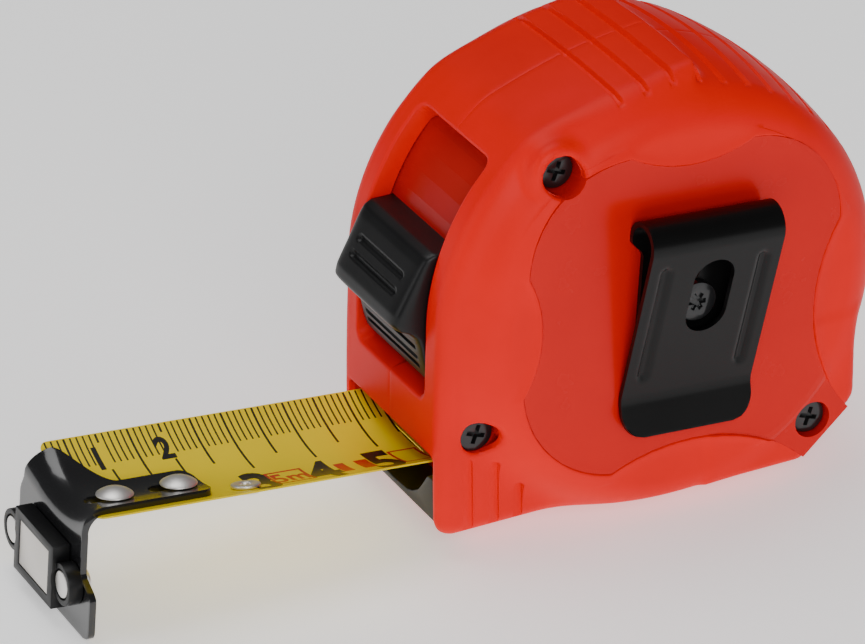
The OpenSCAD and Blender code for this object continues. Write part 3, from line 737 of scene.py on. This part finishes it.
def hook_sheet():
    """Sheet of the hook: from the tongue's end, over a bend, down to the foot of the plate. At each station
    the sheet runs from its near to its far edge; the tongue follows the band's hollow."""
    bend = 3.4
    lift = BLADE_T + 0.06 + 0.5
    stations = []
    for x in np.concatenate([19.8 - 1.8 * (1 - np.cos(np.linspace(0, math.pi / 2, 10))),
                             np.linspace(17.8, bend - 0.6, 44)]):
        stations.append((0, x))
    stations += [(1, a) for a in np.linspace(0, math.pi / 2, 14)[1:]]
    stations += [(2, t) for t in np.linspace(0, 1, 40)[1:]]
    u = np.linspace(0, 1, 49)
    rows = []
    for kind, v in stations:
        if kind == 0:
            round_end = 1.8 * (1 - math.sqrt(max(0.0, 1 - min(1.0, (v - 18.0) / 1.8) ** 2))) if v > 18 else 0
            near, far = -8.4 + round_end, 1.1 + 9.0 * float(smoothstep((9.0 - v) / 6.8)) - 1.6 * round_end
        elif kind == 1:
            near, far = -8.4 - 0.4 * v, 10.1 + 1.3 * float(smoothstep(v / 1.55))
        else:
            z = 3.0 - 19.2 * v
            near = -9.1 - 3.7 * float(smoothstep((-4.5 - z) / 4.5))
            far = 12.6 - 1.2 * float(smoothstep((z + 1.5) / 4.5))
            foot = max(0.0, (-14.4 - z) / 1.8)
            curl = 1.8 * (1 - math.sqrt(max(0.0, 1 - foot ** 2)))
            near, far = near + curl, far - curl
        y = near + (far - near) * u
        level = float(smoothstep(v / 1.2)) if kind == 1 else float(kind == 2)
        hollow = y - 0.45 * level * np.maximum(0, y - 6.5)
        top = BLADE_R + BLADE_T - np.sqrt((BLADE_R - lift + BLADE_T) ** 2 - hollow ** 2)
        if kind == 0:
            x, z = np.full_like(y, v), top
        elif kind == 1:
            x, z = bend - 0.6 - bend * np.sin(v) + 0 * y, top - bend * (1 - np.cos(v))
        else:
            start = top - bend
            x, z = np.full_like(y, -0.6), start + (-16.2 - start) * v
        rows.append(np.stack([x, y, z], axis=-1))
    pts = np.array(rows)
    return hook_frame(pts[..., 0], pts[..., 1], pts[..., 2])


def obround_on_band(x, y, radius, length):
    """Closed cutter with round ends that stands on the band and runs outwards from x by the length."""
    a = np.linspace(-math.pi / 2, math.pi / 2, 12)
    ring = np.concatenate([np.stack([x + radius * np.cos(a), radius * np.sin(a)], axis=-1),
                           np.stack([x - length - radius * np.cos(a), -radius * np.sin(a)], axis=-1)])
    tilt = math.asin(y / BLADE_R)
    verts = []
    for h in (-2.0, 6.0):
        across, up = ring[:, 1], h - BLADE_R - BLADE_T
        yy = across * math.cos(tilt) - up * math.sin(tilt)
        zz = BLADE_R + BLADE_T + across * math.sin(tilt) + up * math.cos(tilt)
        verts.append(hook_frame(ring[:, 0], yy, zz))
    return between_rings("obround_cutter", *verts)


def hook_pieces():
    """Hook, magnet holder, magnet and rivets."""
    obj = grid_object("hook_plate", hook_sheet())
    wall = obj.modifiers.new("wall", "SOLIDIFY")
    wall.thickness = 1.0 * MM
    wall.offset = 0.0
    settle(obj)
    outward(obj.data)
    cut(obj, [obround_on_band(x, -3.75, 1.3, 3.4) for x in (6.3, 16.3)])
    bevel(obj, 0.22, 3, 50.0)
    settle(obj, 50.0)
    place(obj, (BLACK_STEEL,), "hook", ("hook",), "black_steel")
    holder = softened("magnet_holder", "magnet_frame", 0.45, 3)
    place(holder, (BLACK_PLASTIC,), "hook", ("magnet_holder",), "black_plastic")
    magnet = softened("magnet", "magnet_block", 0.12)
    place(magnet, (MAGNET,), "hook", ("magnet",), "bright_steel")
    for node, name, body in (("hook_rivets", "hook_rivet_heads", "blade"),
                             ("blade_eyelet", "blade_eyelet_ring", "blade"),
                             ("magnet_rivets", "magnet_rivet_heads", "hook")):
        place(softened(node, name, 0.12, 2), (BRIGHT,), body, (node,), "bright_steel")


# ---------------------------------------------------------------- lock button
def button_profile(n):
    """Outer profile of the button in x and z from its lower to its upper end, through smooth stations."""
    low, high = math.radians(BUTTON_LOW), math.radians(BUTTON_HIGH)
    keys = np.array([[-COVER_R * math.cos(low) - 0.1, AXIS_Z + COVER_R * math.sin(low)],
                     [-35.2, 23.0], [-36.1, 23.6], [-36.6, 25.2], [-37.0, 27.2], [-37.4, 29.4], [-38.0, 31.0],
                     [-39.3, 32.0], [-40.9, 32.7], [-41.6, 33.7], [-41.2, 35.2], [-39.3, 38.6],
                     [-37.2, 42.3], [-36.3, 43.5], [-35.0, 44.0],
                     [-COVER_R * math.cos(high) - 0.1, AXIS_Z + COVER_R * math.sin(high)]])
    step = np.concatenate([[0], np.cumsum(np.hypot(*np.diff(keys, axis=0).T))])
    t = np.linspace(0, step[-1], n)
    flat = np.stack([np.interp(t, step, keys[:, 0]), np.interp(t, step, keys[:, 1])], axis=-1)
    for _ in range(2):
        flat[1:-1] = (flat[:-2] + 2 * flat[1:-1] + flat[2:]) / 4
    return flat


def button():
    """Thumb button: the profile stands off the curved cover and falls to it at both sides along a squarish
    curve. Grooves run across the sloping upper face and the hollow lower face."""
    n, m = 150, 91
    profile = button_profile(n)
    v = np.linspace(0, 1, n)
    a = np.radians(BUTTON_LOW + (BUTTON_HIGH - BUTTON_LOW) * v)
    base = np.stack([-(COVER_R + 0.1) * np.cos(a), AXIS_Z + (COVER_R + 0.1) * np.sin(a)], axis=-1)
    stand = profile - base
    height = np.hypot(stand[:, 0], stand[:, 1])
    u = np.sin(np.linspace(-1, 1, m) * math.pi / 2)
    power = 16.0 - 5.0 * smoothstep((height - 3.5) / 3.0)
    fall = (1 - np.abs(u)[None, :] ** power[:, None]) ** (1 / power[:, None])
    y = np.full(n, SLOT_Y - 0.3)[:, None] * u[None, :]
    x = base[:, None, 0] + stand[:, None, 0] * fall
    z = base[:, None, 1] + stand[:, None, 1] * fall
    for at, deep, wide, length in BUTTON_GROOVES:
        off = np.hypot(profile[:, None, 1] - at, np.maximum(0, np.abs(y) - length))
        depth = deep * smoothstep((wide - off) / 0.25)
        x = x + depth * (0.87 if at > GRIP_FACE else 1.0)
        z = z - depth * (0.45 if at > GRIP_FACE else 0.0)
    outer = np.stack([x, y, z], axis=-1)
    floor = np.stack([base[:, None, 0] + 0.4 + 0 * y, y, base[:, None, 1] + 0 * y], axis=-1)
    loop = np.concatenate([outer, floor[:, ::-1]], axis=1)
    faces = grid_faces(n, loop.shape[1], close_v=True).tolist()
    k = loop.shape[1]
    for row in (0, n - 1):
        ring = [row * k + i for i in range(k)]
        faces.append(ring if row else ring[::-1])
    obj = solid("thumb_button", loop.reshape(-1, 3), faces, 50.0)
    place(obj, (BLACK_PLASTIC,), "lock", ("lock_button",), "black_plastic")


# ---------------------------------------------------------------- belt clip
def clip_frame(x, out, up):
    """Point in the clip's axes: x across, out from the panel, up from its screw."""
    c, s = math.cos(CLIP_TURN), math.sin(CLIP_TURN)
    x0, y0, z0 = CLIP_AT
    return np.stack([x0 + x * c + up * s, y0 - out + 0 * x, z0 - x * s + up * c], axis=-1)


def clip_path():
    """Middle line of the clip's steel as out and up: base, rolled bend, leaf, then the flared lip."""
    mid_r = BEND_R - CLIP_T / 2
    base = np.stack([np.full(24, CLIP_T / 2), np.linspace(-7.0, BEND_UP, 24)], axis=-1)
    turn = np.radians(np.linspace(0, 180 + LEAF_LEAN, 40))[1:]
    bend = np.stack([BEND_R - mid_r * np.cos(turn), BEND_UP + mid_r * np.sin(turn)], axis=-1)
    lean = math.radians(LEAF_LEAN)
    down = np.linspace(0, LEAF_L, 60)[1:]
    leaf = bend[-1] + np.stack([-down * math.sin(lean), -down * math.cos(lean)], axis=-1)
    flare = np.radians(np.linspace(-LEAF_LEAN, LIP_LEAN, 8))[1:]
    steps = np.full(7, 0.28)
    curl = leaf[-1] + np.cumsum(np.stack([steps * np.sin(flare), -steps * np.cos(flare)], axis=-1), axis=0)
    run = np.linspace(0, LIP_L - 2.0, 14)[1:]
    lip_way = math.radians(LIP_LEAN)
    lip = curl[-1] + np.stack([run * math.sin(lip_way), -run * math.cos(lip_way)], axis=-1)
    return np.concatenate([base, bend, leaf, curl, lip]), len(base), len(base) + len(bend)


def clip():
    """Belt clip as one bent sheet: its middle line carried across its width, narrower at the base. The lip's
    corners are rounded, two ribs are pressed into the leaf, and a window and a hole show what lies behind."""
    line, base_end, leaf_start = clip_path()
    n = len(line)
    step = np.concatenate([[0], np.cumsum(np.hypot(*np.diff(line, axis=0).T))])
    half = np.full(n, CLIP_W / 2)
    half[:base_end] -= 2.0 * (1 - smoothstep((line[:base_end, 1] - BEND_UP + 3.1) / 2.5))
    to_end = step[-1] - step
    corner = 4.2
    near = np.clip(to_end / corner, 0, 1)
    half -= 3.4 * (1 - np.sqrt(1 - (1 - near) ** 2))
    u = np.linspace(-1, 1, 61)
    x = half[:, None] * u[None, :]
    tangent = np.gradient(line, axis=0)
    tangent /= np.hypot(tangent[:, 0], tangent[:, 1])[:, None]
    normal = np.stack([-tangent[:, 1], tangent[:, 0]], axis=-1)
    along = step - step[leaf_start]
    rib = np.zeros_like(x)
    for side in (-1, 1):
        reach = np.maximum(0, np.abs(along - 12.0) - 9.4)[:, None]
        off = np.hypot(x - side * 8.0, reach)
        rib = np.maximum(rib, 0.5 * smoothstep((1.15 - off) / 0.6))
    out = line[:, None, 0] - rib * normal[:, None, 0]
    up = line[:, None, 1] - rib * normal[:, None, 1]
    obj = grid_object("clip_sheet", clip_frame(x, out, up))
    wall = obj.modifiers.new("wall", "SOLIDIFY")
    wall.thickness = CLIP_T * MM
    wall.offset = 0.0
    settle(obj)
    outward(obj.data)
    a = np.linspace(0, math.pi, 16)
    across, rise = WINDOW_R * np.cos(a), WINDOW_R * np.sin(a)
    ring = np.concatenate([np.stack([WINDOW_X + across, WINDOW_HIGH + rise], axis=-1),
                           np.stack([WINDOW_X - across, WINDOW_LOW - rise], axis=-1)])
    window = between_rings("window_cutter", *[clip_frame(ring[:, 0], np.full(len(ring), d), ring[:, 1])
                                              for d in (1.6, 12.0)])
    hole = circle_outline(CLIP_AT[0] - 0.9, CLIP_AT[2] + 5.0, 2.3)
    keyhole = prism("keyhole_cutter", hole, -24.0, -20.3, "xzy")
    cut(obj, [window, keyhole])
    bevel(obj, 0.18, 2, 50.0)
    settle(obj, 50.0)
    place(obj, (CLIP_STEEL,), None, ("belt_clip_base", "belt_clip_leaf"), "black_steel")
    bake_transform(obj)
    place(softened("clip_screw", "clip_screw_head", 0.15), (SCREW,), "case", ("clip_screw",), "black_screw")


# ---------------------------------------------------------------- scene
def camera():
    """Long-lens camera above and to the front left of the case."""
    turn, tilt, roll = 0.467226, 0.49604, -0.012322
    ca, sa, ce, se = math.cos(turn), math.sin(turn), math.cos(tilt), math.sin(tilt)
    right, up = Vector((ca, -sa, 0)), Vector((sa * se, ca * se, ce))
    back = -Vector((sa * ce, ca * ce, -se))
    cr, sr = math.cos(roll), math.sin(roll)
    right, up = cr * right + sr * up, -sr * right + cr * up
    data = bpy.data.cameras.new("camera")
    data.sensor_width = 36.0
    data.lens = 5500 / 865 * 36
    data.clip_end = 20.0
    cam = bpy.data.objects.new("camera", data)
    bpy.context.scene.collection.objects.link(cam)
    place_at = Vector((-346.6, -627.05, 407.18)) * MM
    cam.matrix_world = Matrix((right, up, back)).transposed().to_4x4()
    cam.location = place_at
    bpy.context.scene.camera = cam


def area_light(name, where, size, power, target=(0.0, 0.0, 0.03)):
    """Square soft light at a place, in metres, facing the case."""
    data = bpy.data.lights.new(name, "AREA")
    data.shape = "SQUARE"
    data.size = size
    data.energy = power
    obj = bpy.data.objects.new(name, data)
    bpy.context.scene.collection.objects.link(obj)
    obj.location = where
    obj.rotation_euler = (Vector(target) - Vector(where)).to_track_quat("-Z", "Y").to_euler()
    return obj


def studio():
    """Pale floor just under the hook's tip, soft lights and an even pale surround."""
    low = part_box("hook")[0].z - 0.0003
    span = 4.0
    mesh = bpy.data.meshes.new("studio_floor")
    mesh.from_pydata([(-span, -span, low), (span, -span, low), (span, span, low), (-span, span, low)], [],
                     [(0, 1, 2, 3)])
    floor = bpy.data.objects.new("studio_floor", mesh)
    bpy.context.scene.collection.objects.link(floor)
    mesh.materials.append(material("pale_floor", (0.9, 0.9, 0.9), 0.7, tint=0.01, tint_scale=3.0, glow=0.6))
    world = bpy.data.worlds.new("studio")
    bpy.context.scene.world = world
    world.use_nodes = True
    world.node_tree.nodes["Background"].inputs["Color"].default_value = (1.0, 1.0, 1.0, 1.0)
    world.node_tree.nodes["Background"].inputs["Strength"].default_value = 0.1
    area_light("key_light", (-0.25, -0.85, 0.5), 0.5, 4.6)
    area_light("top_light", (-0.1, 0.25, 0.9), 0.6, 3.6)
    area_light("side_light", (-0.8, 0.05, 0.3), 0.4, 0.9)


for node_name, node_finish in CAD_FINISH.items():
    finish_node(node_name, node_finish)
camera()
case_pieces()
band()
scale_print()
hook_pieces()
button()
clip()
studio()
